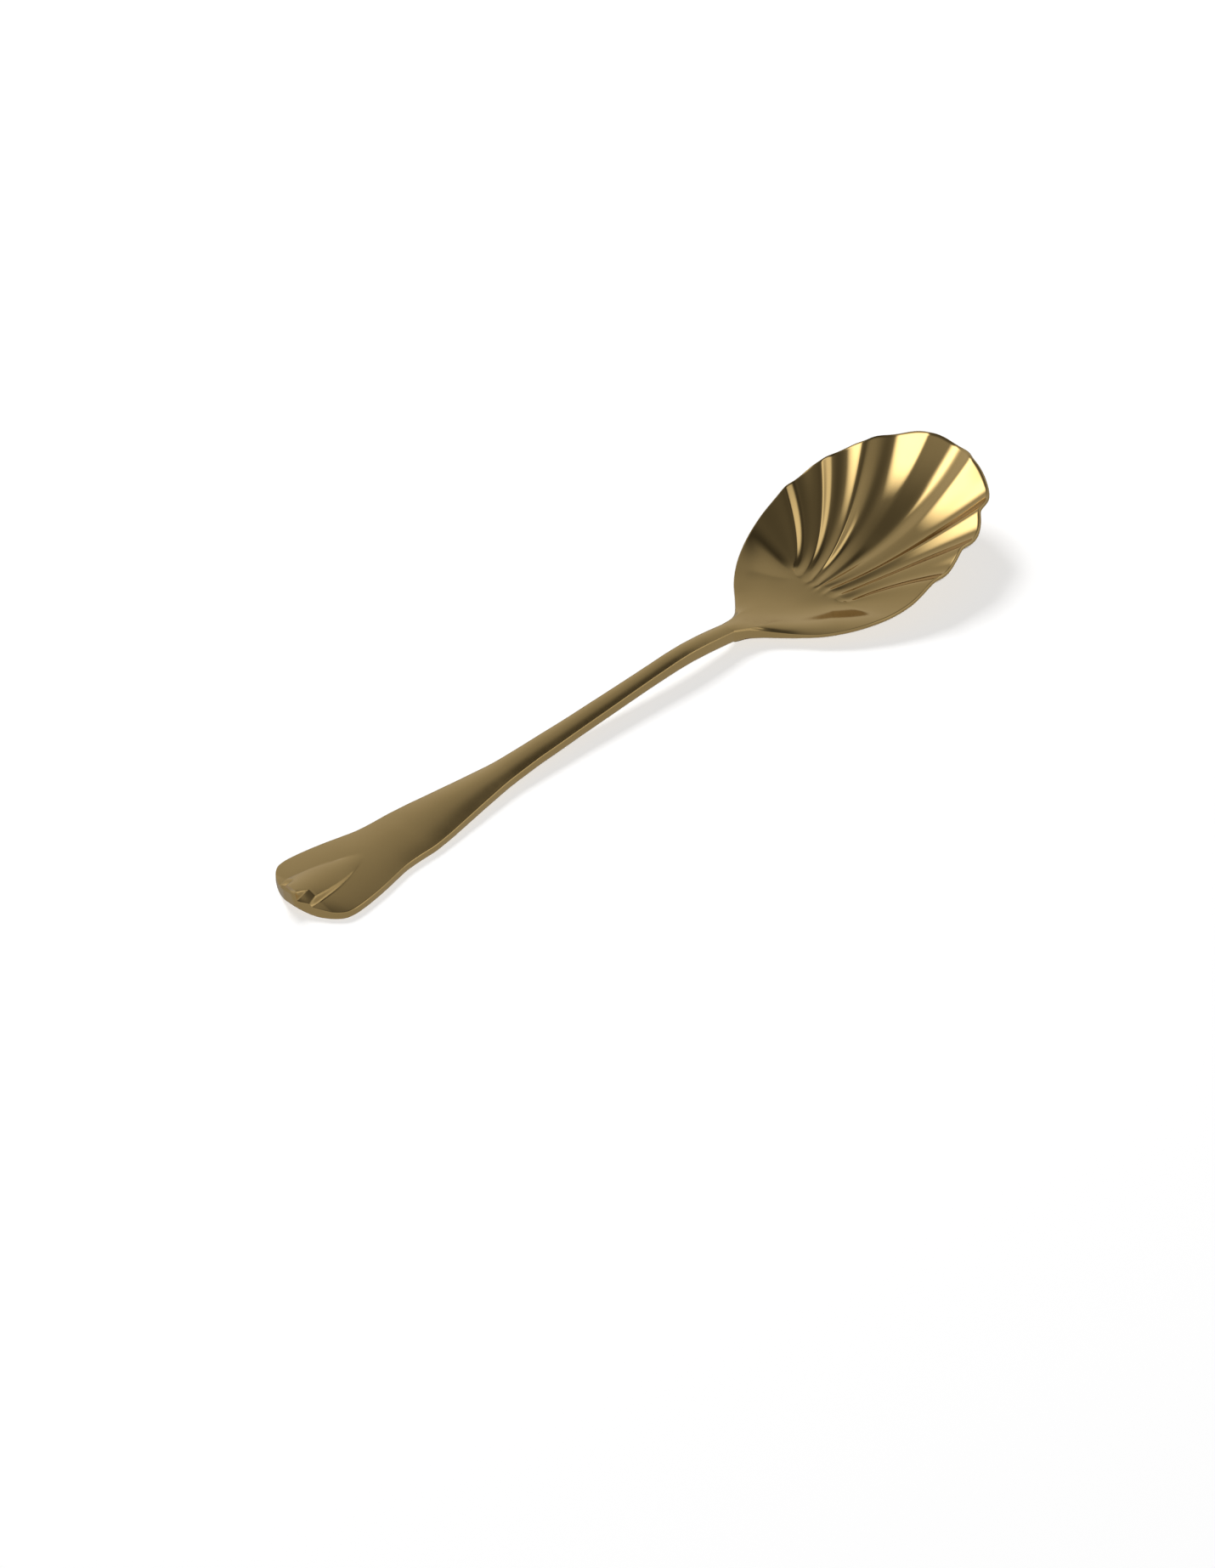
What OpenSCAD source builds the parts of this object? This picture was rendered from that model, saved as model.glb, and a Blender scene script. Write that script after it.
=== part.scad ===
// A shell-bowled serving spoon, stamped and forged from one piece of metal.
// It lies on a table with its bowl up. X runs along it to the bowl's tip, Y is its left,
// Z is up, and the origin is on the table, under the middle of its bounding box.

/* [Handle] */
// Length of the flared handle, from the tip of its nose to where the slender stem begins
handle_l = 64; // [52:1:78]
// Width across the two side lobes
handle_w = 22.4; // [19:0.2:26]
// Thickness at the edge of the handle
handle_t = 2.05; // [1.7:0.05:2.6]
// How far the middle of the handle's top face stands above its edges
handle_crown = 1; // [0.4:0.1:1.4]
// Width of the softened line along the top edge
bevel_w = 0.3; // [0.15:0.05:0.4]
// Radius of the rounded lower edge
under_r = 0.8; // [0.4:0.1:1]

/* [Tongue] */
// Length of the raised tongue at the end of the handle
tongue_l = 22.5; // [17:0.5:26]
// Width of the tongue at the end of the handle
tongue_w = 10.4; // [8:0.1:11]
// Height of the tongue above the face at the end of the handle
tongue_h = 2.9; // [1.8:0.1:3.6]
// How far the nose stands out in front of the side lobes
nose_l = 2.9; // [2.2:0.1:3.8]
// Width of the nose
nose_w = 3.6; // [3:0.1:4.4]
// Height of the nose's lower lip above the table
lip_h = 1.7; // [1.2:0.1:2.4]

/* [Stem] */
// Length of the slender stem, from the handle to the heel of the bowl
stem_l = 67; // [52:1:82]
// Width where the stem leaves the handle
shank_w = 6.9; // [5.8:0.1:8.2]
// Width of the neck, just before the bowl
neck_w = 3.9; // [3.4:0.1:4.8]
// Thickness of the neck at its edges
neck_t = 3; // [2.5:0.1:3.6]
// Height of the stem's top edge above the table, at the crest of its arch
arch_h = 6.85; // [6:0.05:9]

/* [Bowl] */
// Length from the neck to the rim between the two ridges at the tip
bowl_l = 68.6; // [58:0.2:80]
// Width across the two widest ridges of the rim
bowl_w = 46.2; // [40:0.2:54]
// Height of the rim's tip above the table
tip_h = 20; // [17:0.5:24]
// Height of the smooth floor where the ridges start
root_h = 2.2; // [2:0.05:2.6]
// Depth of the smooth hollow in front of the neck, below a straight ramp
heel_dip = 1.6; // [1.2:0.05:1.7]
// Thickness of the sheet in the middle of the bowl
sheet_t = 1.15; // [1.1:0.05:1.6]
// Thickness of the sheet at the rim
rim_t = 0.9; // [0.7:0.05:1.1]
// Width of the softened line along the rim's inner edge
rim_bevel_w = 0.1; // [0.05:0.01:0.15]
// Radius of the rim's rounded lower edge
rim_r = 0.3; // [0.2:0.05:0.4]

/* [Flutes] */
// Distance from the neck to the line where the ridges start
root_line_l = 28.4; // [25:0.2:32]
// Width of the row of ridge roots
root_row_w = 17.4; // [15:0.2:20]
// How far a flute bulges out past its two ridges at the rim
flute_out = 1.7; // [1:0.1:2.2]
// How far a flute sags below its two ridges at the rim
flute_sag = 0.9; // [0.5:0.05:1.3]
// Height of a ridge above the floor at its root
ridge_h = 0.2; // [0.1:0.05:0.3]

/* [Hidden] */
gold = [0.62, 0.5, 0.29];

neck_at = handle_l + stem_l;

// Counts of faces: across half a top face inside and outside the tongue's foot, round a lower
// edge, along a flute, across a flute, and along one side of the heel
foot_shares = [0, 0.2, 0.36, 0.4, 0.7, 1];
outer_steps = 5;
edge_steps = 3;
ray_steps = 12;
lobe_steps = 8;
heel_steps = 20;

// Half widths of the front of the nose: distance from its tip as a share of nose_l, and half
// width as a share of half of nose_w
nose_plan_shares = [[0, 0.9], [0.2, 1.03], [0.35, 1.2], [0.5, 1.65]];
// Half widths of the lobes' front: distance beyond nose_l as a share of nose_l, and half width
// as a share of half of handle_w
lobe_plan_shares = [[-0.28, 0.37], [0.03, 0.52], [0.38, 0.665], [0.72, 0.786], [1.07, 0.88],
    [1.41, 0.945], [1.76, 0.982]];
// Half widths of the rest of the handle: distance from the nose as a share of handle_l, and
// half width as a share of half of handle_w
handle_plan_shares = [[0.155, 1], [0.2, 0.98], [0.25, 0.94], [0.31, 0.875], [0.375, 0.79],
    [0.44, 0.715], [0.5, 0.69], [0.56, 0.68], [0.625, 0.64], [0.75, 0.525], [0.875, 0.407]];
// Half widths of the stem: distance from the handle as a share of stem_l, and how much of the
// way from the neck's width to the shank's is left
stem_plan_shares = [[0.06, 0.82], [0.12, 0.68], [0.2, 0.58], [0.3, 0.42], [0.42, 0.31],
    [0.54, 0.19], [0.66, 0.1], [0.78, 0.07], [0.9, 0.06], [1, 0]];
// Height of the top edge: distance from the handle as a share of stem_l, and how much of the
// way from the handle's edge to the crest of the arch is done
arch_shares = [[0, 0.28], [0.12, 0.4], [0.27, 0.52], [0.42, 0.66], [0.55, 0.79], [0.66, 0.9],
    [0.76, 0.99], [0.8, 1], [0.88, 0.945], [0.94, 0.86], [1, 0.755]];
// The same for the last part of the handle, against handle_l
lift_shares = [[0, 0], [0.55, 0], [0.68, 0.06], [0.82, 0.155], [0.92, 0.225], [1, 0.28]];
// Growth of the thickness from the handle to the neck, along the stem
swell_shares = [[0, 0.2], [0.3, 0.3], [0.6, 0.55], [0.8, 0.9], [1, 1]];
// Half width of the tongue, as shares of tongue_l and of half of tongue_w
tongue_plan_shares = [[0, 1], [0.14, 0.97], [0.44, 0.86], [0.62, 0.7], [0.8, 0.47],
    [0.93, 0.25], [1, 0.1]];
// How fast the tongue falls to the face behind it
tongue_power = 1.5;
// Where the leaning front of the nose ends, where the nose starts to blend into the tongue,
// and where that blend ends, as shares of nose_l
lean_share = 0.35;
blend_share = 0.9;
merge_share = 2.8;
// How far behind the lip the underside reaches the table, as a share of nose_l
toe_share = 1.1;
// Height of the foot of the nose's side walls, as a share of tongue_h
shoulder_share = 0.38;
// The nose's sides drop between these shares of the tongue's half width
wall_share = 0.36;
wall_foot_share = 0.4;
// How far the tip of the nose turns up, as a share of tongue_h, and over what share of nose_l
nose_lift_share = 0.24;
nose_lift_reach_share = 0.5;
// Height of the rounded crown on the stem, as a share of its half width
stem_crown_share = 0.22;
// Half width of the crown at the lobes' front, as a share of handle_w
crown_reach_share = 0.4;
// The tongue's rows of points leave its foot where that is nearer the middle than this
foot_row_share = 0.3;

// The rim from the neck to the first ridge: how far along it, then its place as shares of the
// distance to that ridge and of half of bowl_w, then its height as a share of tip_h
heel_rim_shares = [[0.08, 0.088, 0.108, 0.245], [0.16, 0.158, 0.173, 0.2],
    [0.25, 0.225, 0.279, 0.169], [0.36, 0.3, 0.42, 0.154], [0.48, 0.385, 0.584, 0.165],
    [0.6, 0.488, 0.728, 0.2], [0.72, 0.613, 0.853, 0.247], [0.84, 0.75, 0.948, 0.31],
    [0.92, 0.875, 0.995, 0.395], [1, 1, 1, 0.523]];
// The rim ends of the four ridges of one side: distance from the neck as a share of bowl_l,
// half width as a share of half of bowl_w, and height as a share of tip_h
ridge_rim_shares = [[0.583, 1, 0.523], [0.731, 0.942, 0.68], [0.872, 0.75, 0.822],
    [1, 0.271, 1]];
// Their roots, as shares of half of root_row_w
ridge_root_shares = [1, 0.632, 0.31, 0.052];
// Where each ridge is drawn to on its way: share of its length, and of its width
ridge_pull_shares = [[0.5, 0.175], [0.5, 0.18], [0.5, 0.23], [0.53, 0.44]];
// How steeply each ridge climbs to the rim, from the heel to the tip
ridge_power = [1.48, 1.8, 1.88, 2.5];
// How deep each flute is beside flute_out and flute_sag, from the heel to the tip
lobe_out_shares = [0.44, 0.99, 1.67, 1.18];
lobe_sag_shares = [1.14, 1.4, 1.5, 1.19];
// How narrow the bulge of a flute is in plan, and how narrow each flute's sag is: 1 is the
// plain curve across it, less is fuller
plan_power = 0.87;
lobe_power = [1.05, 0.8, 1.2, 1.23];
// A flute's sag across is between a parabola at 0 and a wave at 1: at its root and at the rim
wave_shares = [0.58, 0.8];
// How the sag grows from the roots, beside the width of the flute
sag_power = 0.61;
// How far each flute leans towards the ridge on its heel side
lobe_lean_shares = [0.28, 0.03, 0.29, 0];
// How the floor climbs to the heel rim
heel_power = 2.2;
// How the rim's thickness grows towards the neck
neck_power = 1.4;
// Where along the heel that growth starts
neck_start_share = 0.5;
// Length of the strip that joins the two sides of the root row, and the part of the row over
// which it opens
root_strip_l = 1.2;
strip_open_share = 0.25;
// How many rays to either side the heel is averaged over
soft_reach = 8;
// The slope along a ray is measured over this share of it, to either side
probe_share = 0.04;

// A smooth curve through rows of [x, y] with no overshoot, read at x
function slope_at(rows, i) =
    let (n = len(rows) - 1)
    i <= 0 ? (rows[1][1] - rows[0][1]) / (rows[1][0] - rows[0][0]) :
    i >= n ? (rows[n][1] - rows[n - 1][1]) / (rows[n][0] - rows[n - 1][0]) :
    let (a = rows[i][0] - rows[i - 1][0], b = rows[i + 1][0] - rows[i][0],
        left = (rows[i][1] - rows[i - 1][1]) / a, right = (rows[i + 1][1] - rows[i][1]) / b)
    left * right <= 0 ? 0 :
    3 * (a + b) / ((2 * b + a) / left + (b + 2 * a) / right);
function span_of(rows, x, i = 0) =
    i >= len(rows) - 2 || x < rows[i + 1][0] ? i : span_of(rows, x, i + 1);
function curve(rows, x) =
    let (i = span_of(rows, x), p = rows[i], q = rows[i + 1], l = q[0] - p[0],
        t = min(1, max(0, (x - p[0]) / l)), a = slope_at(rows, i) * l,
        b = slope_at(rows, i + 1) * l)
    (2 * t^3 - 3 * t^2 + 1) * p[1] + (t^3 - 2 * t^2 + t) * a
    + (3 * t^2 - 2 * t^3) * q[1] + (t^3 - t^2) * b;
function mix(a, b, t) = a + (b - a) * t;
function clamp(t) = min(1, max(0, t));
function unit(v) = v / norm(v);
function mirrored(p) = [p[0], -p[1], p[2]];

// Outline and heights of the handle and stem, at a distance s from the tip of the nose
handle_rows = concat(
    [for (r = nose_plan_shares) [r[0] * nose_l, r[1] * nose_w / 2]],
    [for (r = lobe_plan_shares) [(1 + r[0]) * nose_l, r[1] * handle_w / 2]],
    [for (r = handle_plan_shares) [r[0] * handle_l, r[1] * handle_w / 2]],
    [[handle_l, shank_w / 2]]);
stem_rows = concat([[0, shank_w / 2]],
    [for (r = stem_plan_shares) [r[0] * stem_l, neck_w / 2 + r[1] * (shank_w - neck_w) / 2]]);
tongue_rows = [for (r = tongue_plan_shares) [r[0] * tongue_l, r[1] * tongue_w / 2]];
lift_end = lift_shares[len(lift_shares) - 1][1];

function half_w(s) = s < handle_l ? curve(handle_rows, s) : curve(stem_rows, s - handle_l);
function lift(s) = curve(lift_shares, s / handle_l) / lift_end;
function edge_h(s) = mix(handle_t, arch_h,
    s < handle_l ? lift_end * lift(s) : curve(arch_shares, (s - handle_l) / stem_l));
function edge_t(s) = mix(handle_t, neck_t, s < handle_l ? swell_shares[0][1] * lift(s) :
    curve(swell_shares, (s - handle_l) / stem_l));
function crown_h(s) = let (stem_crown = stem_crown_share * half_w(s))
    s < handle_l ? mix(handle_crown, stem_crown, lift(s)) : stem_crown;
function crown_half(s) = s < handle_l / 4 ? max(half_w(s), handle_w * crown_reach_share) : half_w(s);

lean_l = nose_l * lean_share;
nose_top = handle_t + handle_crown + tongue_h * (1 + nose_lift_share);
function under_h(s) = s < lean_l ? mix(nose_top - bevel_w - under_r, lip_h, s / lean_l) :
    s < lean_l + nose_l * toe_share ? lip_h * (1 - (s - lean_l) / (nose_l * toe_share))^2 :
    edge_h(s) - edge_t(s);

// Height of the tongue above the crowned face. Near the end it has a nose with upright sides.
function tongue_half(s) = s < tongue_l ? curve(tongue_rows, s) : tongue_rows[6][1];
function nose_part(s) = clamp((merge_share * nose_l - s) / ((merge_share - blend_share) * nose_l));
function nose_profile(u) =
    u < wall_share ? 1 - shoulder_share * (u / wall_share)^4 / 4 :
    u < wall_foot_share ?
        mix(1 - shoulder_share / 4, shoulder_share, (u - wall_share) / (wall_foot_share - wall_share)) :
    shoulder_share * (1 - (u - wall_foot_share) / (1 - wall_foot_share));
function nose_lift(s) = nose_lift_share * max(0, 1 - s / (nose_l * nose_lift_reach_share));
function tongue_rise(s, y) = let (u = abs(y) / tongue_half(s))
    s >= tongue_l || u >= 1 ? 0 :
    tongue_h * (1 + nose_lift(s)) * (1 - s / tongue_l)^tongue_power
    * mix(1 - u^2, nose_profile(u), nose_part(s));
function top_h(s, y) = edge_h(s) + crown_h(s) * (1 - (y / crown_half(s))^2) + tongue_rise(s, y);

// Places across the top face, from one side to the other: rows follow the tongue's foot
function half_places(s) = let (w = half_w(s) - bevel_w, near = half_w(s) * foot_row_share,
    foot = min(max(tongue_half(s), near), w * 0.8))
    concat([for (f = foot_shares) f * foot],
        [for (k = [1:outer_steps]) mix(foot, w, k / outer_steps)]);
top_half_steps = len(foot_shares) - 1 + outer_steps;
function top_places(s) = let (h = half_places(s))
    concat([for (k = [top_half_steps:-1:1]) -h[k]], h);

// The rounded lower edge and softened upper edge, as [outwards, down] from the top face's edge
function edge_rows(bevel, t, r) = concat([[0, 0], [bevel, bevel]],
    [for (k = [edge_steps:-1:0]) let (a = 90 * k / edge_steps)
        [bevel - r + r * sin(a), t - r + r * cos(a)]]);
function edge_at(s) = let (w = half_w(s), t = top_h(s, w - bevel_w) - under_h(s))
    edge_rows(bevel_w, t, min(under_r, t / 2, w / 2));

// One closed cross-section: the top face, then down one side, under and up the other
function section(s) =
    let (x = s, w = half_w(s) - bevel_w, h = top_h(s, w), rows = edge_at(s), last = len(rows) - 1)
    concat(
        [for (y = top_places(s)) [x, y, top_h(s, y)]],
        [for (k = [1:last]) [x, w + rows[k][0], h - rows[k][1]]],
        [for (k = [last:-1:1]) [x, -w - rows[k][0], h - rows[k][1]]]);

// A solid through closed sections that all have the same number of points
module loft(sections) {
    n = len(sections[0]);
    last = len(sections) - 1;
    points = [for (one = sections) each one];
    sides = [for (j = [0:last - 1], i = [0:n - 1])
        each [[j * n + i, j * n + (i + 1) % n, (j + 1) * n + i],
            [j * n + (i + 1) % n, (j + 1) * n + (i + 1) % n, (j + 1) * n + i]]];
    polyhedron(points = points, convexity = 6, faces = concat(sides,
        [[for (i = [n - 1:-1:0]) i]], [[for (i = [0:n - 1]) last * n + i]]));
}

lobe_end = nose_l * 3;
handle_stations = concat(
    [for (k = [0:3]) lean_l * k / 3],
    [for (k = [1:16]) mix(lean_l, lobe_end, k / 16)],
    [for (k = [1:8]) mix(lobe_end, tongue_l, k / 8)],
    [for (k = [1:16]) mix(tongue_l, handle_l, k / 16)]);
stem_stations = [for (k = [0:28]) handle_l + stem_l * k / 28];

// The rim and the ridges of the bowl, all for its left side
ridge_rim = [for (r = ridge_rim_shares)
    [neck_at + r[0] * bowl_l, r[1] * bowl_w / 2, r[2] * tip_h]];
ridge_root = [for (r = ridge_root_shares)
    [neck_at + root_line_l, r * root_row_w / 2, root_h + ridge_h]];
neck_half = half_w(neck_at) - bevel_w;
neck_corner = [neck_at, neck_half, top_h(neck_at, neck_half)];
heel_l = ridge_rim[0][0] - neck_at;
heel_rows = concat([[0, neck_corner]], [for (r = heel_rim_shares)
    [r[0], [neck_at + r[1] * heel_l, r[2] * bowl_w / 2, r[3] * tip_h]]]);
heel_tables = [for (c = [0:2]) [for (r = heel_rows) [r[0], r[1][c]]]];
function heel_rim(e) = [for (table = heel_tables) curve(table, e)];
flute_count = 7;
tip_ridge = (flute_count - 1) / 2;
function bend(a, pull, b, t) = (1 - t)^2 * a + 2 * t * (1 - t) * pull + t^2 * b;

// A point of ridge k at t, from its root at 0 to the rim at 1
function ridge(k, t) =
    let (a = ridge_root[k], b = ridge_rim[k], share = ridge_pull_shares[k],
        pull = [mix(a[0], b[0], share[0]), mix(a[1], b[1], share[1]), 0],
        flat = bend([a[0], a[1], 0], pull, [b[0], b[1], 0], t))
    [flat[0], flat[1], mix(a[2], b[2], t^ridge_power[k])];
// Across the middle flute the second ridge is the first one's mirror image
function far_ridge(k, t) = k == tip_ridge ? mirrored(ridge(k, t)) : ridge(k + 1, t);

// Across a flute: a parabola at 0, a wave with rounded crests at 1
function hollow(u, wave) = mix(4 * u * (1 - u), (1 - cos(360 * u)) / 2, wave);

// A point of flute k, u of the way from its ridge to the next one
function flute(k, u, t) =
    let (a = ridge(k, t), b = far_ridge(k, t), across = b - a,
        lean = u + lobe_lean_shares[k] * u * (1 - u), out = unit([-across[1], across[0], 0]),
        bulge = clamp(hollow(lean, 0))^plan_power, wave = mix(wave_shares[0], wave_shares[1], t),
        down = clamp(hollow(lean, wave))^lobe_power[k],
        grown = norm(across) / norm(far_ridge(k, 1) - ridge(k, 1)))
    mix(a, b, u) + out * flute_out * lobe_out_shares[k] * bulge * grown
    - [0, 0, 1] * down
        * (flute_sag * lobe_sag_shares[k] * grown * t^sag_power + ridge_h * (1 - t));

// A ray of the smooth heel, from the root row at t = 0 to the rim at t = 1. The column c counts
// from the first ridge round to the middle of the neck.
half_columns = lobe_steps * flute_count / 2;
neck_columns = half_columns - heel_steps;
function root_y(c) = flute(floor(c / lobe_steps), c / lobe_steps - floor(c / lobe_steps), 0)[1];
function across_neck(c) = (half_columns - c) / neck_columns;
function heel_end(c) = c <= heel_steps ? heel_rim(1 - c / heel_steps) :
    let (y = across_neck(c) * neck_half) [neck_at, y, top_h(neck_at, y)];
function heel_ray(c, t) =
    let (near = max(0, 1 - c / heel_steps), open = clamp(c / half_columns / strip_open_share),
        a = [neck_at + root_line_l - root_strip_l * open, root_y(c), 0],
        b = heel_end(c), first = ridge_pull_shares[0],
        pull_y = (first[1] - 1 / 2) * (ridge_rim[0][1] - ridge_root[0][1]),
        pull = [(a[0] + b[0]) / 2, (a[1] + b[1]) / 2 + pull_y * near^3, 0],
        flat = bend(a, pull, [b[0], b[1], 0], t), from = root_h + ridge_h * near^2)
    [flat[0], flat[1], mix(from, b[2], t^mix(heel_power, ridge_power[0], near^2))
        - heel_dip * (1 - near^2) * 4 * t * (1 - t)];

// Away from the rim the heel is an average over its neighbouring rays, with no crease
soft_steps = [for (d = [1 - soft_reach:soft_reach - 1]) d];
soft_weights = [for (d = soft_steps) (soft_reach - abs(d)) / soft_reach^2];
function heel_past_middle(c, t) =
    c > half_columns ? mirrored(heel_ray(2 * half_columns - c, t)) : heel_ray(c, t);
function heel(c, t) =
    let (soft = clamp((c - soft_reach) / soft_reach) * (1 - t^4))
    soft == 0 ? heel_ray(c, t) :
    mix(heel_ray(c, t), soft_weights * [for (d = soft_steps) heel_past_middle(c + d, t)], soft);

// The inside of the bowl: columns run from the first ridge over the tip to the middle, or round
// the heel to the middle of the neck
function inside(front, c, t) = front ?
    let (k = min(tip_ridge, floor(c / lobe_steps))) flute(k, c / lobe_steps - k, t) : heel(c, t);

// The outside lies one thickness below it, square to the slope, and never below the table
function neck_part(front, c) =
    front ? 0 : clamp((c / heel_steps - neck_start_share) / (1 - neck_start_share));
function edge_wall_t(front, c) = let (p = inside(front, c, 1))
    mix(rim_t, (c < heel_steps ? neck_corner[2] : p[2]) - under_h(neck_at),
        neck_part(front, c)^neck_power);
function wall_t(front, c, t) = mix(sheet_t, edge_wall_t(front, c), t^3);
function below(front, c, t) =
    let (a = inside(front, c, max(0, t - probe_share)), b = inside(front, c, min(1, t + probe_share)),
        way = unit([b[0] - a[0], b[1] - a[1], 0]), run = norm([b[0] - a[0], b[1] - a[1]]),
        m = (1 - neck_part(front, c)) * max(0, (b[2] - a[2]) / run))
    unit(way * m - [0, 0, 1]);
function on_table(p) = [p[0], p[1], max(0, p[2])];
function outside(front, c, t) =
    on_table(inside(front, c, t) + below(front, c, t) * wall_t(front, c, t));

// Points down the rim's edge. On the neck they lie in the plane where the stem meets the bowl.
function neck_edge(c) =
    let (top = inside(false, c, 1), under = under_h(neck_at), rows = edge_at(neck_at),
        t = neck_corner[2] - under)
    [for (r = rows) [neck_at, across_neck(c) * (neck_half + r[0]), mix(top[2], under, r[1] / t)]];
function rim_way(front, c) =
    let (d = 1 / 4, p = inside(front, max(0, c - d), 1), q = inside(front, c + d, 1),
        along = (front ? 1 : -1) * (q - p))
    unit([-along[1], along[0], 0]);
function rim_edge(front, c) =
    let (p = inside(front, c, 1), down = below(front, c, 1), out = rim_way(front, c),
        part = neck_part(front, c), t = wall_t(front, c, 1))
    [for (r = edge_rows(mix(rim_bevel_w, bevel_w, part), t, mix(rim_r, under_r, part)))
        on_table(p + out * r[0] + down * r[1])];
function edge_points(front, c) =
    !front && c >= heel_steps ? neck_edge(c) : rim_edge(front, c);

// One column of the shell: the inside from the root to the rim, the edge, and the outside back
function column(front, c) = concat(
    [for (j = [0:ray_steps - 1]) inside(front, c, j / ray_steps)],
    edge_points(front, c),
    [for (j = [ray_steps - 1:-1:0]) outside(front, c, j / ray_steps)]);

// Columns of the whole rim, in order: left flutes, right flutes, right heel, left heel
left_front = [for (c = [0:half_columns]) column(true, c)];
left_heel = [for (c = [0:half_columns]) column(false, c)];
function flipped(one) = [for (p = one) mirrored(p)];
columns = concat(
    left_front,
    [for (c = [half_columns - 1:-1:0]) flipped(left_front[c])],
    [for (c = [1:half_columns]) flipped(left_heel[c])],
    [for (c = [half_columns - 1:-1:1]) left_heel[c]]);

module bowl_shell() {
    n = len(columns);
    rings = len(columns[0]);
    skin = [for (i = [0:n - 1], j = [0:rings - 2]) let (next = (i + 1) % n)
        each [[i * rings + j, i * rings + j + 1, next * rings + j],
            [next * rings + j, i * rings + j + 1, next * rings + j + 1]]];
    // The strip between the front and back of the root row, on both skins
    front = 2 * half_columns;
    strip = [for (i = [0:front - 1]) let (back = (n - i) % n, next = n - i - 1)
        each i == 0 ? [[0, 1, next]] : i == front - 1 ? [[i, i + 1, back]] :
        [[i, i + 1, back], [i + 1, next, back]]];
    polyhedron(points = [for (one = columns) each one], convexity = 8,
        faces = concat(skin, [for (f = strip) f * rings],
            [for (f = strip) [f[2] + 1, f[1] + 1, f[0] + 1] * rings - [1, 1, 1]]));
}

// The spoon is longest in the middle of the tip's flute
overall_l = max([for (p = left_front[half_columns]) p[0]]);
module centred() {
    color(gold) translate([-overall_l / 2, 0, 0]) children();
}

module bowl() {
    centred() bowl_shell();
}

module stem() {
    centred() loft([for (s = stem_stations) section(s)]);
}

module handle() {
    centred() loft([for (s = handle_stations) section(s)]);
}

bowl();
stem();
handle();
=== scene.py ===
import bpy
import math
import numpy as np
from mathutils import Matrix


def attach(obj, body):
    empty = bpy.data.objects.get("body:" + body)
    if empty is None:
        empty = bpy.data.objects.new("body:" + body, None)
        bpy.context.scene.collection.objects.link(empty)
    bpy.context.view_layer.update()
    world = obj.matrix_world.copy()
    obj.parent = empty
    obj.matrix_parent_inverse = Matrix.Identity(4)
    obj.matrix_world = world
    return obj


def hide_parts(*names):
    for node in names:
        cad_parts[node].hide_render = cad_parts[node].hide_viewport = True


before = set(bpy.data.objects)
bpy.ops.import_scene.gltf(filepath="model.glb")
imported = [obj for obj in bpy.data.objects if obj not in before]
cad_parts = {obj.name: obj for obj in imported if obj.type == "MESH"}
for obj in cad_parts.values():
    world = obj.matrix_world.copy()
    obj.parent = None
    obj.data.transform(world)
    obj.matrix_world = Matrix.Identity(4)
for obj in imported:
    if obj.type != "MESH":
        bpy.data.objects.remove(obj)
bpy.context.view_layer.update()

# A fluted serving spoon on a pale floor. Its three pieces replace the frame's handle, stem and bowl, and
# follow the same sizes and shares on a finer grid. Lengths are in millimetres until a piece's mesh is made.
# s is the distance from the nose's tip along the spoon, and y the distance from the middle line.
MM = 0.001

# Sizes
handle_l, handle_w, handle_t, handle_crown = 64.0, 22.4, 2.05, 1.0
bevel_w, under_r = 0.3, 0.8
tongue_l, tongue_w, tongue_h = 22.5, 10.4, 2.9
nose_l, nose_w, lip_h = 2.9, 3.6, 1.7
stem_l, shank_w, neck_w, neck_t, arch_h = 67.0, 6.9, 3.9, 3.0, 6.85
bowl_l, bowl_w, tip_h, root_h, heel_dip = 68.6, 46.2, 20.0, 2.2, 1.6
sheet_t, rim_t, rim_bevel_w, rim_r = 1.15, 0.9, 0.1, 0.3
root_line_l, root_row_w, root_strip_l = 28.4, 17.4, 1.2
flute_out, flute_sag, ridge_h = 1.7, 0.9, 0.2
neck_at = handle_l + stem_l

# Outline of the nose's front, of the lobes' front, of the rest of the handle and of the stem: rows of a
# distance and a half width, as shares of the sizes that handle_rows names
NOSE_PLAN = [(0, 0.9), (0.2, 1.03), (0.35, 1.2), (0.5, 1.65)]
LOBE_PLAN = [(-0.28, 0.37), (0.03, 0.52), (0.38, 0.665), (0.72, 0.786), (1.07, 0.88), (1.41, 0.945),
             (1.76, 0.982)]
HANDLE_PLAN = [(0.155, 1), (0.2, 0.98), (0.25, 0.94), (0.31, 0.875), (0.375, 0.79), (0.44, 0.715),
               (0.5, 0.69), (0.56, 0.68), (0.625, 0.64), (0.75, 0.525), (0.875, 0.407)]
STEM_PLAN = [(0.06, 0.82), (0.12, 0.68), (0.2, 0.58), (0.3, 0.42), (0.42, 0.31), (0.54, 0.19),
             (0.66, 0.1), (0.78, 0.07), (0.9, 0.06), (1, 0)]
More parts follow.
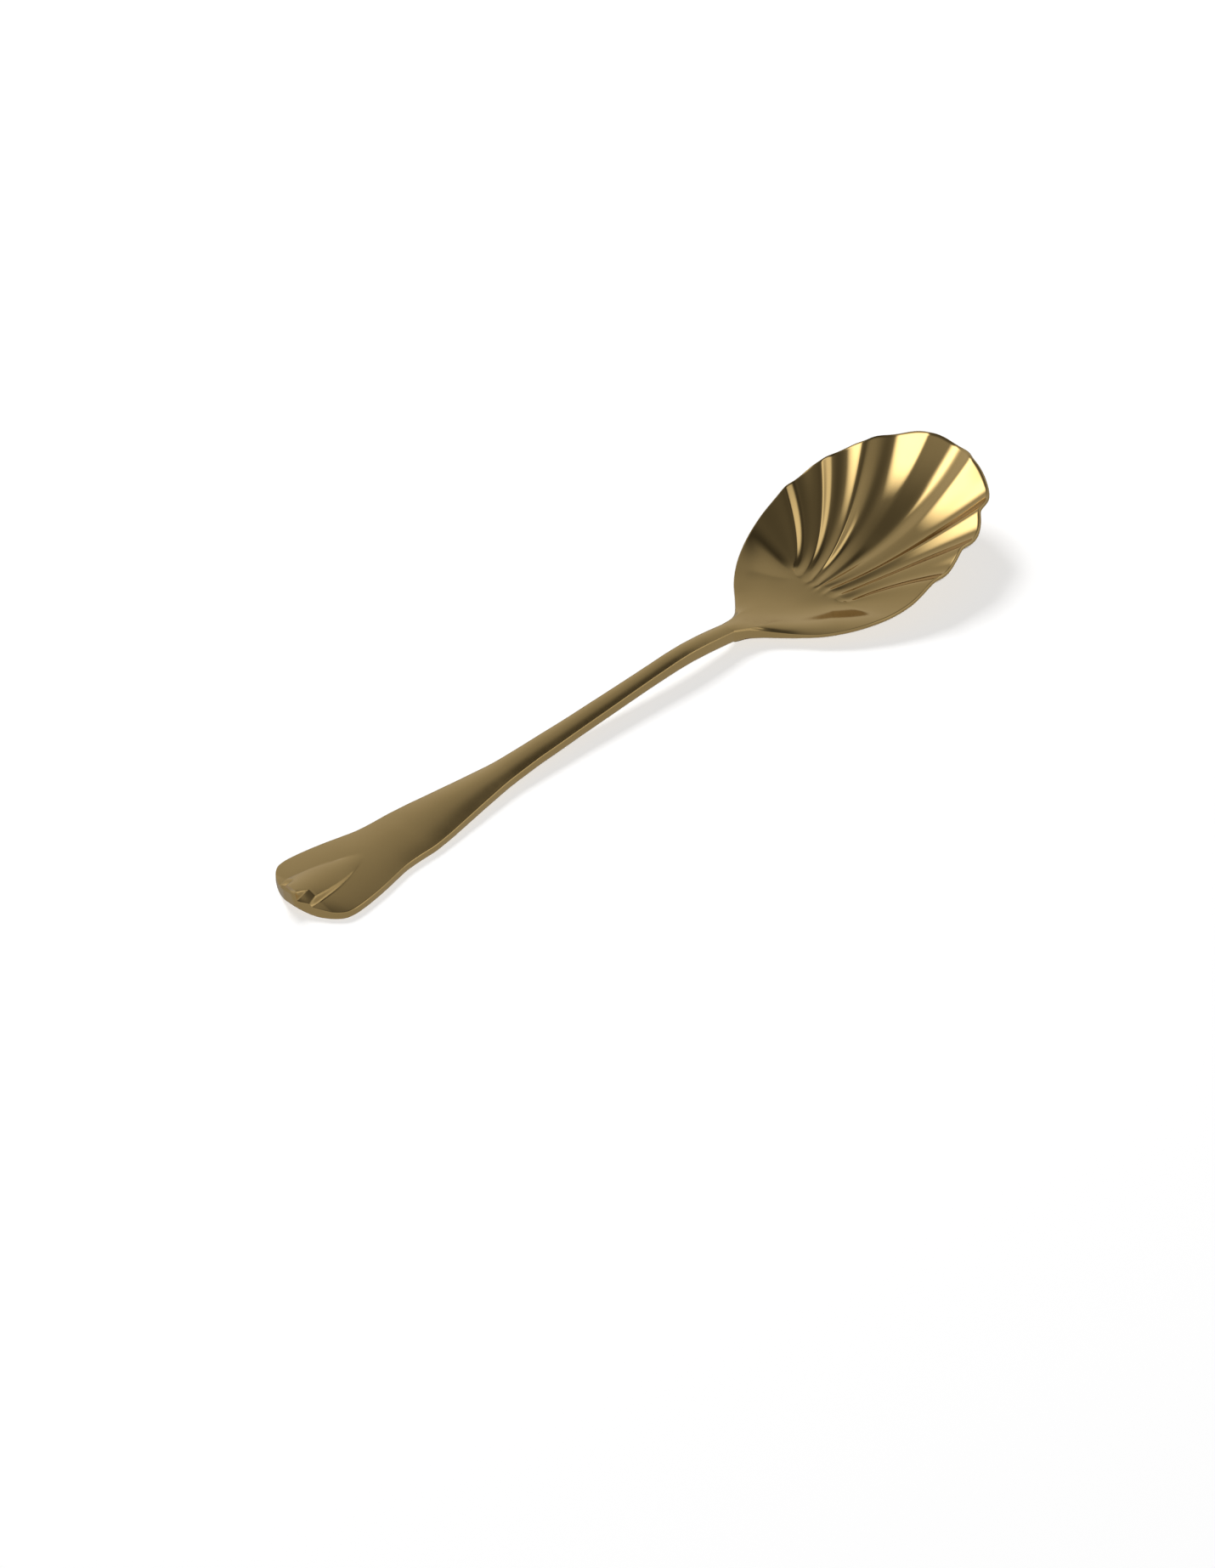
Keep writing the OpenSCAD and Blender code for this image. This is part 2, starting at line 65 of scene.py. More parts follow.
# Height of the top edge: distance along the stem, and how much of the way to the arch's crest is done.
# LIFT is the same along the handle, SWELL is how the thickness grows along the stem, and TONGUE_PLAN is
# the outline of the tongue.
ARCH = [(0, 0.28), (0.12, 0.4), (0.27, 0.52), (0.42, 0.66), (0.55, 0.79), (0.66, 0.9), (0.76, 0.99),
        (0.8, 1), (0.88, 0.945), (0.94, 0.86), (1, 0.755)]
LIFT = [(0, 0), (0.55, 0), (0.68, 0.06), (0.82, 0.155), (0.92, 0.225), (1, 0.28)]
SWELL = [(0, 0.2), (0.3, 0.3), (0.6, 0.55), (0.8, 0.9), (1, 1)]
TONGUE_PLAN = [(0, 1), (0.14, 0.97), (0.44, 0.86), (0.62, 0.7), (0.8, 0.47), (0.93, 0.25), (1, 0.1)]
# Height of the stem's crown as a share of its half width. Up to CROWN_KEEP_L the handle's crown is spread
# at least CROWN_KEEP_HALF to each side.
STEM_CROWN = 0.22
CROWN_KEEP_L, CROWN_KEEP_HALF = handle_l / 4, handle_w * 0.4

# The rim from the neck to the first ridge: how far round, then place and height as shares of the distance
# to that ridge, of half the bowl's width and of its tip's height
HEEL_RIM = [(0.08, 0.088, 0.108, 0.245), (0.16, 0.158, 0.173, 0.2), (0.25, 0.225, 0.279, 0.169),
            (0.36, 0.3, 0.42, 0.154), (0.48, 0.385, 0.584, 0.165), (0.6, 0.488, 0.728, 0.2),
            (0.72, 0.613, 0.853, 0.247), (0.84, 0.75, 0.948, 0.31), (0.92, 0.875, 0.995, 0.395),
            (1, 1, 1, 0.523)]
# The four ridges of one side: their ends on the rim as shares of the bowl's length, of half its width and
# of its tip's height, their roots as shares of half the row's width, where each is drawn to as shares of
# its way along and across, and how late it climbs
RIDGE_RIM = [(0.583, 1, 0.523), (0.731, 0.942, 0.68), (0.872, 0.75, 0.822), (1, 0.271, 1)]
RIDGE_ROOT = [1, 0.632, 0.31, 0.052]
RIDGE_PULL = [(0.5, 0.175), (0.5, 0.18), (0.5, 0.23), (0.53, 0.44)]
RIDGE_POWER = [1.48, 1.8, 1.88, 2.5]
# Each flute from the heel to the middle: bulge in plan, sag, lean to the heel's side, and narrowness
FLUTE_OUT = [0.44, 0.99, 1.67, 1.18]
FLUTE_SAG = [1.14, 1.4, 1.5, 1.19]
FLUTE_LEAN = [0.28, 0.03, 0.29, 0]
FLUTE_POWER = [1.05, 0.8, 1.2, 1.23]
# How narrow a bulge is in plan, how the sag grows from the roots, and how wavy it is at root and rim
PLAN_POWER, SAG_POWER = 0.87, 0.61
ROOT_WAVE, RIM_WAVE = 0.58, 0.8


def curve(rows, x):
    """Smooth monotone curve through rows of (x, y), flat beyond its ends."""
    rows = np.array([(r[0], r[1]) for r in rows], float)
    px, py = rows[:, 0], rows[:, 1]
    h, d = np.diff(px), np.diff(py) / np.diff(px)
    m = np.empty(len(px))
    m[0], m[-1] = d[0], d[-1]
    with np.errstate(divide="ignore", invalid="ignore"):
        inner = 3 * (h[:-1] + h[1:]) / ((2 * h[1:] + h[:-1]) / d[:-1] + (h[1:] + 2 * h[:-1]) / d[1:])
    m[1:-1] = np.where(d[:-1] * d[1:] > 0, inner, 0)
    x = np.clip(np.asarray(x, float), px[0], px[-1])
    i = np.clip(np.searchsorted(px, x, side="right") - 1, 0, len(h) - 1)
    t = (x - px[i]) / h[i]
    return ((2 * t**3 - 3 * t**2 + 1) * py[i] + (t**3 - 2 * t**2 + t) * m[i] * h[i]
            + (3 * t**2 - 2 * t**3) * py[i + 1] + (t**3 - t**2) * m[i + 1] * h[i])


def mix(a, b, t):
    return a + (b - a) * t


def unit(v):
    return v / np.linalg.norm(v, axis=-1, keepdims=True)


def step(x):
    """Smooth step from 0 at 0 to 1 at 1."""
    x = np.clip(x, 0, 1)
    return x * x * (3 - 2 * x)


def bend(a, pull, b, t):
    """A curve from a to b, drawn towards pull on its way."""
    return (1 - t)**2 * a + 2 * t * (1 - t) * pull + t**2 * b


def soften(values, sigma, axis, wrap=False):
    """Gaussian average of a table along one axis; sigma counts samples."""
    reach = int(math.ceil(3 * sigma))
    weights = np.exp(-0.5 * (np.arange(-reach, reach + 1) / sigma)**2)
    weights /= weights.sum()
    v = np.moveaxis(np.asarray(values, float), axis, 0)
    if wrap:
        v = np.concatenate([v[-reach:], v, v[:reach]])
    else:
        v = np.concatenate([2 * v[:1] - v[reach:0:-1], v, 2 * v[-1:] - v[-2:-reach - 2:-1]])
    out = sum(weight * v[i:len(v) - 2 * reach + i] for i, weight in enumerate(weights))
    return np.moveaxis(out, 0, axis)


# Handle and stem
lift_end = LIFT[-1][1]
handle_rows = ([(a * nose_l, b * nose_w / 2) for a, b in NOSE_PLAN]
               + [((1 + a) * nose_l, b * handle_w / 2) for a, b in LOBE_PLAN]
               + [(a * handle_l, b * handle_w / 2) for a, b in HANDLE_PLAN]
               + [(handle_l, shank_w / 2)]
               + [(handle_l + a * stem_l, neck_w / 2 + b * (shank_w - neck_w) / 2) for a, b in STEM_PLAN])
edge_h_rows = ([(a * handle_l, mix(handle_t, arch_h, b)) for a, b in LIFT[:-1]]
               + [(handle_l + a * stem_l, mix(handle_t, arch_h, b)) for a, b in ARCH])
thick_rows = ([(a * handle_l, mix(handle_t, neck_t, SWELL[0][1] * b / lift_end)) for a, b in LIFT[:-1]]
              + [(handle_l + a * stem_l, mix(handle_t, neck_t, b)) for a, b in SWELL])
tongue_rows = [(a * tongue_l, b * tongue_w / 2) for a, b in TONGUE_PLAN]

# The tongue and the nose that it ends in: how fast the tongue falls to the face, how long the nose's
# leaning front and the toe under it are, and by what share of the tongue's height and over what share of
# the nose's length the tip turns up
TONGUE_POWER = 1.5
lean_l, toe_l = nose_l * 0.35, nose_l * 1.1
NOSE_LIFT, NOSE_LIFT_REACH = 0.24, 0.5
nose_top = handle_t + handle_crown + tongue_h * (1 + NOSE_LIFT)
# Across the nose: half the width of its top at the tip and where it ends, how much of its height that top
# rounds down, the width of the steep wall beside it, and the height, as a share, and least width of the
# shoulder beside that
NOSE_HALF, NOSE_END_HALF, NOSE_ROUNDING, WALL_W = 1.5, 2.2, 0.1, 0.35
SHOULDER_H, SHOULDER_W = 0.2, 0.1
# Where the nose has turned into the tongue, and over what length it does
NOSE_END, NOSE_BLEND = 4.6, 3.6
# How much of the tongue's flank is a small step at its foot, and that step's share of the half width
FOOT_STEP, FOOT_STEP_W = 0.55, 0.14
# Rows of points across half a top face: on the nose, on its wall, to the tongue's foot, to the edge
ROWS = [9, 4, 22, 12]
# The tongue's foot has its row between two shares of the face's half width. The wall's rows start and end
# at most at a share of that half width, start at most at the same share of the foot's place, and end at
# most at a share of the way from there to the foot.
FOOT_LEAST, FOOT_MOST = 0.3, 0.94
WALL_START_MOST, WALL_END_MOST, WALL_TO_FOOT = 0.8, 0.86, 0.6
UNDER_POINTS = 12
# Angles of the points on a bevel and on a rounded lower corner, in degrees
BEVEL_ANGLES, CORNER_ANGLES = [0, 22, 45, 68, 90], [90, 72, 54, 36, 18, 0]


def half_w(s):
    return curve(handle_rows, s)


def edge_h(s):
    return curve(edge_h_rows, s)


def crown_h(s):
    part = np.where(s < handle_l, curve(LIFT, np.minimum(s / handle_l, 1)) / lift_end, 1)
    return mix(handle_crown, STEM_CROWN * half_w(s), part)


def crown_half(s):
    return np.where(s < CROWN_KEEP_L, np.maximum(half_w(s), CROWN_KEEP_HALF), half_w(s))


def under_h(s):
    """Height of the underside: the nose's front leans back to its lip, and its toe runs down to the table."""
    front = mix(nose_top - bevel_w - under_r, lip_h, s / lean_l)
    toe = lip_h * np.clip(1 - (s - lean_l) / toe_l, 0, 1)**2
    return np.where(s < lean_l, front, np.where(s < lean_l + toe_l, toe, edge_h(s) - curve(thick_rows, s)))


def tongue_half(s):
    return curve(tongue_rows, s)


def wall_places(s):
    """How far from the middle the steep wall beside the nose starts and ends at s."""
    start = mix(NOSE_HALF, NOSE_END_HALF, np.clip(s / NOSE_END, 0, 1))
    return start, start + WALL_W


def nose_profile(s, y):
    """Height across the nose, 1 in the middle: a rounded top, a steep wall, and a shoulder beside it."""
    y = np.abs(y)
    start, end = wall_places(s)
    top = 1 - NOSE_ROUNDING * (y / start)**4
    wall = mix(1 - NOSE_ROUNDING, SHOULDER_H, step((y - start) / (end - start)))
    low = SHOULDER_H * np.clip(1 - (y - end) / np.maximum(tongue_half(s) - end, SHOULDER_W), 0, 1)
    return np.where(y < start, top, np.where(y < end, wall, low))


def tongue_rise(s, y):
    u = np.abs(y) / tongue_half(s)
    nose = step((NOSE_END - s) / NOSE_BLEND)
    lift = 1 + NOSE_LIFT * np.clip(1 - s / (nose_l * NOSE_LIFT_REACH), 0, 1)
    foot = 1 - step((u - 1 + FOOT_STEP_W) / FOOT_STEP_W)
    flank = mix(1 - u**2, foot, FOOT_STEP * step((tongue_l - s) / (tongue_l / 2)))
    across = mix(flank, nose_profile(s, y), nose)
    rise = tongue_h * lift * np.clip(1 - s / tongue_l, 0, 1)**TONGUE_POWER * across
    return np.where((s >= tongue_l) | (u >= 1), 0, rise)


def top_h(s, y):
    return edge_h(s) + crown_h(s) * (1 - (y / crown_half(s))**2) + tongue_rise(s, y)


def edge_profile(bevel, t, r):
    """Points down an edge as (outwards, down): a rounded bevel, then the rounded lower corner."""
    rows = [(bevel * math.sin(a), bevel * (1 - math.cos(a))) for a in np.radians(BEVEL_ANGLES)]
    rows += [(bevel - r + r * math.sin(a), t - r + r * math.cos(a)) for a in np.radians(CORNER_ANGLES)]
    return rows


def places(s):
    """Places across the top face at s: rows follow the wall of the nose and the foot of the tongue."""
    w = float(half_w(s)) - bevel_w
    start, end = [float(v) for v in wall_places(s)]
    tongue = float(tongue_half(s)) if s < tongue_l else tongue_rows[-1][1]
    foot = min(max(tongue, float(half_w(s)) * FOOT_LEAST), w * FOOT_MOST)
    start = min(start, foot * WALL_START_MOST)
    end = min(end, mix(start, foot, WALL_TO_FOOT))
    stops = [0, min(start, w * WALL_START_MOST), min(end, w * WALL_END_MOST), foot, w]
    half = [0.0] + [mix(a, b, (k + 1) / n) for a, b, n in zip(stops, stops[1:], ROWS) for k in range(n)]
    return [-v for v in half[:0:-1]] + half


def section(s):
    """One closed cross-section at s: the top, one side, under, the other side."""
    w = float(half_w(s)) - bevel_w
    h = float(top_h(s, w))
    t = h - float(under_h(s))
    rows = edge_profile(bevel_w, t, min(under_r, t / 2, (w + bevel_w) / 2))
    ys = np.array(places(s))
    top = [(s, y, z) for y, z in zip(ys, top_h(s, ys))]
    side = [(s, w + a, h - b) for a, b in rows[1:]]
    under = [(s, y, h - t) for y in np.linspace(side[-1][1], -side[-1][1], UNDER_POINTS)[1:-1]]
    return top + side + under + [(s, -y, z) for s, y, z in side[::-1]]


def loft(stations):
    """Rings of points and faces through the closed sections at the stations, capped at both ends. The
    last value counts the flat faces, which come last."""
    rings = np.array([section(s) for s in stations])
    n = rings.shape[1]
    last = (len(stations) - 1) * n
    faces = []
    for a in range(0, last, n):
        b = a + n
        faces += [(a + i, a + (i + 1) % n, b + (i + 1) % n, b + i) for i in range(n)]
    caps = [tuple(range(n - 1, -1, -1)), tuple(range(last, last + n))]
    return rings, faces + caps, len(caps)


# Bowl
ridge_rim = np.array([(neck_at + a * bowl_l, b * bowl_w / 2, c * tip_h) for a, b, c in RIDGE_RIM])
ridge_root = np.array([(neck_at + root_line_l, a * root_row_w / 2, root_h + ridge_h) for a in RIDGE_ROOT])
neck_half = float(half_w(neck_at)) - bevel_w
neck_corner = np.array([neck_at, neck_half, float(top_h(neck_at, neck_half))])
neck_under = float(under_h(neck_at))
neck_edge_t = neck_corner[2] - neck_under
heel_l = ridge_rim[0][0] - neck_at
heel_rows = [(0, *neck_corner)] + [(around, neck_at + a * heel_l, b * bowl_w / 2, c * tip_h)
                                   for around, a, b, c in HEEL_RIM]

# Rays run out from the row of roots to the rim. FLUTE_RAYS is how many cross one flute and HEEL_RAYS
# how many reach the heel's rim on one side, and RAY_STEPS is how many steps each has.
FLUTES, FLUTE_RAYS, HEEL_RAYS, RAY_STEPS = 7, 24, 60, 72
HALF_RAYS = FLUTE_RAYS * FLUTES // 2
FRONT_RAYS = 2 * HALF_RAYS
NECK_RAYS = HALF_RAYS - HEEL_RAYS
# How late the heel climbs, how deep its inside dips, how late on a ray and from which share of the way to
# the neck its slope turns into that of the stem's top, and over what length that slope is measured
HEEL_POWER, INSIDE_DIP, NECK_POWER, NECK_FADE = 2.2, 0.5, 5, 0.6
SLOPE_L = 0.5
neck_slope = float(top_h(neck_at - SLOPE_L, 0.0) - top_h(neck_at, 0.0)) / SLOPE_L
# What brings the dip's curve to a peak of 1, and the share of the way to the middle over which the strip
# along the roots grows to its full width
DIP_PEAK = 27 / 4
ROOT_STRIP_REACH = 0.25
# Softening, counted in rays and steps. Of the heel: how much, from which ray and over how many it sets in,
# and how late on a ray it ends. Of the crests: how much, and from which ray and over how many it ends. Of
# the row of roots: how much, how far it reaches, and over how many rays it sets in at both ends.
HEEL_SOFT, HEEL_SOFT_FROM, HEEL_SOFT_OVER, HEEL_SOFT_POWER = 16, 12, 15, 6
CREST_SOFT, CREST_SOFT_FROM, CREST_SOFT_OVER = 1.2, 20, 20
ROOT_SOFT, ROOT_SOFT_REACH, ROOT_SOFT_ENDS = 3.0, 9, 6
# How late on a ray the wall turns from the sheet's thickness to the rim's, at the flutes and at the neck
WALL_POWER, NECK_WALL_POWER = 3, 1.2
# How late and from which share of the way to the neck the rim thickens, from which share of a ray the
# underside follows the shallower inside there, and over how many steps to each side a slope is measured
EDGE_POWER, EDGE_FROM = 1.4, 0.5
MEET_FROM = 0.4
SLOPE_STEPS = 3


def ridge(k, t):
    """Points of ridge k at t from its root to the rim; the second half of the ridges mirrors the first."""
    m, flip = (k, 1) if k < len(RIDGE_RIM) else (FLUTES - k, -1)
    a, b, share = ridge_root[m], ridge_rim[m], RIDGE_PULL[m]
    x, y = [bend(a[i], mix(a[i], b[i], share[i]), b[i], t) for i in (0, 1)]
    return np.stack([x, y * flip, mix(a[2], b[2], t**RIDGE_POWER[m])], -1)


def hollow(u, wave):
    """Across a flute: a parabola at wave 0, a wave with rounded crests at 1."""
    return np.clip(mix(4 * u * (1 - u), (1 - np.cos(2 * math.pi * u)) / 2, wave), 0, 1)


def flute(c, t):
    """Inside of the flutes along ray c, which counts from the first ridge to the middle."""
    k = min(FLUTES // 2, c // FLUTE_RAYS)
    u = c / FLUTE_RAYS - k
    a, b = ridge(k, t), ridge(k + 1, t)
    across = b - a
    out = unit(np.stack([-across[..., 1], across[..., 0], 0 * across[..., 0]], -1))
    v = u + FLUTE_LEAN[k] * u * (1 - u)
    down = hollow(v, mix(ROOT_WAVE, RIM_WAVE, t))**FLUTE_POWER[k]
    rim = np.array(1.0)
    grown = np.linalg.norm(across, axis=-1) / np.linalg.norm(ridge(k + 1, rim) - ridge(k, rim))
    p = a + across * u + out * (flute_out * FLUTE_OUT[k] * hollow(v, 0)**PLAN_POWER * grown)[..., None]
    p[..., 2] -= down * (flute_sag * FLUTE_SAG[k] * grown * t**SAG_POWER + ridge_h * (1 - t))
    return p


def heel_rim(e):
    return np.array([float(curve([(r[0], r[c]) for r in heel_rows], e)) for c in (1, 2, 3)])


def heel(c, t, inside):
    """A ray of the smooth heel from the row of roots to the rim; c counts from the first ridge. The inside
    is shallower than the frame's, whose dip the underside keeps, because the bowl rests on it."""
    near = max(0.0, 1 - c / HEEL_RAYS)
    root_y = float(flute(c, np.array([0.0]))[0, 1])
    a = np.array([neck_at + root_line_l - root_strip_l * min(1, c / HALF_RAYS / ROOT_STRIP_REACH), root_y])
    if c <= HEEL_RAYS:
        b = heel_rim(1 - c / HEEL_RAYS)
    else:
        neck_y = (HALF_RAYS - c) / NECK_RAYS * neck_half
        b = np.array([neck_at, neck_y, float(top_h(neck_at, neck_y))])
    pull = (a + b[:2]) / 2
    pull[1] += (RIDGE_PULL[0][1] - 0.5) * (ridge_rim[0][1] - ridge_root[0][1]) * near**3
    x, y = [bend(a[i], pull[i], b[i], t) for i in (0, 1)]
    power = mix(HEEL_POWER, RIDGE_POWER[0], near**2)
    z = mix(root_h + ridge_h * near**2, b[2], t**power)
    if not inside:
        return np.stack([x, y, z - heel_dip * (1 - near**2) * 4 * t * (1 - t)], -1)
    z -= INSIDE_DIP * (1 - near**2) * DIP_PEAK * t * (1 - t)**2
    # Towards the neck the slope becomes that of the stem's top
    run = math.hypot(a[0] - b[0], a[1] - b[1])
    steep = power * (b[2] - root_h) - neck_slope * run
    z += step((c / HEEL_RAYS - NECK_FADE) / (1 - NECK_FADE)) * steep * (1 - t) * t**NECK_POWER
    return np.stack([x, y, z], -1)


def bowl_rays(inside):
    """Points on every ray of the bowl, and how far each ray is from the flutes, counted along the heel."""
    t = np.linspace(0, 1, RAY_STEPS + 1)
    front = [flute(c, t) for c in range(HALF_RAYS + 1)]
    back = [heel(c, t, inside) for c in range(HALF_RAYS + 1)]
    mirror = np.array([1, -1, 1])
    rays = np.array(front + [ray * mirror for ray in front[-2::-1]]
                    + [ray * mirror for ray in back[1:]] + back[-2:0:-1])
    from_flutes = np.array([0] * (FRONT_RAYS + 1) + list(range(1, HALF_RAYS + 1))
                           + list(range(HALF_RAYS - 1, 0, -1)), float)

    # Pressed metal has no sharp creases: the heel is one soft hollow, and the crests are rounded
    soft = np.clip((from_flutes - HEEL_SOFT_FROM) / HEEL_SOFT_OVER, 0, 1)[:, None, None]
    soft = soft * (1 - t**HEEL_SOFT_POWER)[None, :, None]
    rays = mix(rays, soften(rays, HEEL_SOFT, 0, wrap=True), soft)
    keep = np.clip((from_flutes - CREST_SOFT_FROM) / CREST_SOFT_OVER, 0, 1)[:, None, None]
    rays = mix(soften(rays, CREST_SOFT, 0, wrap=True), rays, keep)

    # So is the row of roots, along lines that run from the heel on into the flutes
    mate = [(len(rays) - i) % len(rays) for i in range(FRONT_RAYS + 1)]
    lines = np.concatenate([rays[mate][:, ::-1], rays[:FRONT_RAYS + 1]], axis=1)
    away = np.abs(np.arange(2 * RAY_STEPS + 2) - RAY_STEPS - 0.5)
    spots = np.arange(FRONT_RAYS + 1)
    ends = np.clip(np.minimum(spots, FRONT_RAYS - spots) / ROOT_SOFT_ENDS, 0, 1)
    part = np.exp(-(away / ROOT_SOFT_REACH)**2) * ends[:, None]
    lines[..., 2] = mix(lines[..., 2], soften(lines[..., 2], ROOT_SOFT, 1), part)
    rays[:FRONT_RAYS + 1] = lines[:, RAY_STEPS + 1:]
    rays[mate[1:-1]] = lines[1:-1, :RAY_STEPS + 1][:, ::-1]
    return rays, from_flutes


def underside(rays, wall, neck_part):
    """The points a wall's thickness below the rays, square to the slope along each, but never under the
    table, and the directions in which they lie."""
    spots = np.arange(RAY_STEPS + 1)
    before = np.clip(spots - SLOPE_STEPS, 0, RAY_STEPS)
    after = np.clip(spots + SLOPE_STEPS, 0, RAY_STEPS)
    run = rays[:, after] - rays[:, before]
    flat = np.linalg.norm(run[..., :2], axis=-1)
    slope = (1 - neck_part)[:, None] * np.maximum(0, run[..., 2] / flat)
    down = unit(np.stack([run[..., 0] / flat * slope, run[..., 1] / flat * slope, -np.ones_like(slope)], -1))
    under = rays + down * wall[..., None]
    under[..., 2] = np.maximum(under[..., 2], 0)
    return under, down


def rim_edge(rim, wall, down, neck_part, from_flutes):
    """The rounded edge of the rim from the inside down, and at the neck the end of the stem."""
    way = np.roll(rim, -1, 0) - np.roll(rim, 1, 0)
    # Beside the neck the rim's way is measured on the heel's side only
    first, last = FRONT_RAYS + HEEL_RAYS - 1, len(rim) - HEEL_RAYS + 1
    way[first] = rim[first] - rim[first - 1]
    way[last] = rim[last + 1] - rim[last]
    out = unit(np.stack([-way[:, 1], way[:, 0], 0 * way[:, 0]], -1))
    neck_rows = edge_profile(bevel_w, neck_edge_t, min(under_r, neck_edge_t / 2, float(half_w(neck_at)) / 2))
    edge = []
    for i, p in enumerate(neck_part):
        if from_flutes[i] >= HEEL_RAYS:
            side = 1 if i > FRONT_RAYS + HALF_RAYS else -1
            share = (HALF_RAYS - from_flutes[i]) / NECK_RAYS * side
            top = float(top_h(neck_at, share * neck_half))
            edge.append([(neck_at, share * (neck_half + a), mix(top, neck_under, b / neck_edge_t))
                         for a, b in neck_rows])
        else:
            rows = edge_profile(mix(rim_bevel_w, bevel_w, p), wall[i], mix(rim_r, under_r, p))
            points = [rim[i] + out[i] * a + down[i] * b for a, b in rows]
            edge.append([(x, y, max(0, z)) for x, y, z in points])
    return np.array(edge)


def bowl_mesh():
    """Rings, faces and the count of flat faces, as loft gives them. A ring runs out along a ray of the
    inside, over the rim, and back along the underside. The flat faces meet the stem."""
    t = np.linspace(0, 1, RAY_STEPS + 1)
    inside, from_flutes = bowl_rays(True)
    rays = bowl_rays(False)[0]
    n = len(rays)

    neck_part = np.clip((from_flutes / HEEL_RAYS - EDGE_FROM) / (1 - EDGE_FROM), 0, 1)
    at_rim = np.where(from_flutes < HEEL_RAYS, neck_corner[2], rays[:, -1, 2])
    edge_t = mix(rim_t, at_rim - neck_under, neck_part**EDGE_POWER)
    wall = mix(sheet_t, edge_t[:, None], t[None, :]**mix(WALL_POWER, NECK_WALL_POWER, neck_part)[:, None])
    meet = neck_part[:, None, None] * step((t - MEET_FROM) / (1 - MEET_FROM))[None, :, None]
    rays = mix(rays, inside, meet)
    under, down = underside(rays, wall, neck_part)
    edge = rim_edge(rays[:, -1], wall[:, -1], down[:, -1], neck_part, from_flutes)
    rings = np.concatenate([inside[:, :-1], edge, under[:, -2::-1]], axis=1)

    m = rings.shape[1]
    faces, flat_faces = [], []
    for i in range(n):
        a, b = i * m, (i + 1) % n * m
        at_neck = min(from_flutes[i], from_flutes[(i + 1) % n]) >= HEEL_RAYS
        for j in range(m - 1):
            on_edge = RAY_STEPS <= j < RAY_STEPS + edge.shape[1] - 1
            (flat_faces if at_neck and on_edge else faces).append((a + j, b + j, b + j + 1, a + j + 1))
    # The strip along the row of roots, inside and outside
    for i in range(FRONT_RAYS):
        ring = [i, (n - i) % n, (n - i - 1) % n, i + 1]
        ring = [v for k, v in enumerate(ring) if v not in ring[:k]]
        faces.append(tuple(v * m for v in ring))
        faces.append(tuple(v * m + m - 1 for v in ring[::-1]))
    return rings, faces + flat_faces, len(flat_faces)


# Materials: the plating's colour, the roughness of the satin and of the polish, and where along X the
# bowl turns from one to the other. SATIN_ONLY lies past the spoon's end.
GOLD = (0.705, 0.5, 0.21)
SATIN_ROUGH, POLISH_ROUGH = 0.2, 0.09
POLISH_X, SATIN_ONLY = (0.036, 0.046), (0.2, 0.3)
# Scale and detail of the noise for the colour's drift, for uneven roughness and for the satin's grain, and
# the values of noise between which the first two have their effect
DRIFT, UNEVEN, GRAIN = (60, 2), (900, 4), (2600, 3)
NOISE_SPAN = (0.3, 0.7)
# The drift's two ends, a little deeper and paler than the plating, and what the roughness is multiplied by
DRIFT_TINTS = [(0.95, 0.94, 0.92), (1.03, 1.03, 1.04)]
UNEVEN_SPAN = (0.88, 1.12)
# Height of the grain, in metres, and how strongly it shows on the satin and where it is polished
GRAIN_H, SATIN_GRAIN, POLISH_GRAIN = 0.00001, 0.05, 0.01


def metal(name, rough_far, change_x):
    """Gold-toned metal: satin up to the first of change_x along X, and rough_far beyond the second."""
    m = bpy.data.materials.new(name)
    m.use_nodes = True
    tree = m.node_tree
    link = tree.links.new
    shader = tree.nodes["Principled BSDF"]
    shader.inputs["Metallic"].default_value = 1.0
    where = tree.nodes.new("ShaderNodeTexCoord")

    def noise(scale, detail):
        node = tree.nodes.new("ShaderNodeTexNoise")
        node.inputs["Scale"].default_value = scale
        node.inputs["Detail"].default_value = detail
        link(where.outputs["Object"], node.inputs["Vector"])
        return node.outputs["Fac"]

    def spread(value, low, high, from_low, from_high):
        node = tree.nodes.new("ShaderNodeMapRange")
        for key, v in (("From Min", from_low), ("From Max", from_high), ("To Min", low), ("To Max", high)):
            node.inputs[key].default_value = v
        link(value, node.inputs["Value"])
        return node.outputs["Result"]

    # Colour: broad warm and cool drifts in the plating
    ramp = tree.nodes.new("ShaderNodeValToRGB")
    for element, position, tint in zip(ramp.color_ramp.elements, NOISE_SPAN, DRIFT_TINTS):
        element.position = position
        element.color = (*[a * b for a, b in zip(GOLD, tint)], 1)
    link(noise(*DRIFT), ramp.inputs["Fac"])
    link(ramp.outputs["Color"], shader.inputs["Base Color"])

    # Roughness, a little uneven everywhere
    axis = tree.nodes.new("ShaderNodeSeparateXYZ")
    link(where.outputs["Object"], axis.inputs["Vector"])
    rough = tree.nodes.new("ShaderNodeMath")
    rough.operation = "MULTIPLY"
    link(spread(axis.outputs["X"], SATIN_ROUGH, rough_far, *change_x), rough.inputs[0])
    link(spread(noise(*UNEVEN), *UNEVEN_SPAN, *NOISE_SPAN), rough.inputs[1])
    link(rough.outputs["Value"], shader.inputs["Roughness"])

    # Fine grain of the satin finish, nearly gone where the bowl is polished
    bump = tree.nodes.new("ShaderNodeBump")
    bump.inputs["Distance"].default_value = GRAIN_H
    link(noise(*GRAIN), bump.inputs["Height"])
    link(spread(axis.outputs["X"], SATIN_GRAIN, POLISH_GRAIN, *change_x), bump.inputs["Strength"])
    link(bump.outputs["Normal"], shader.inputs["Normal"])
    return m


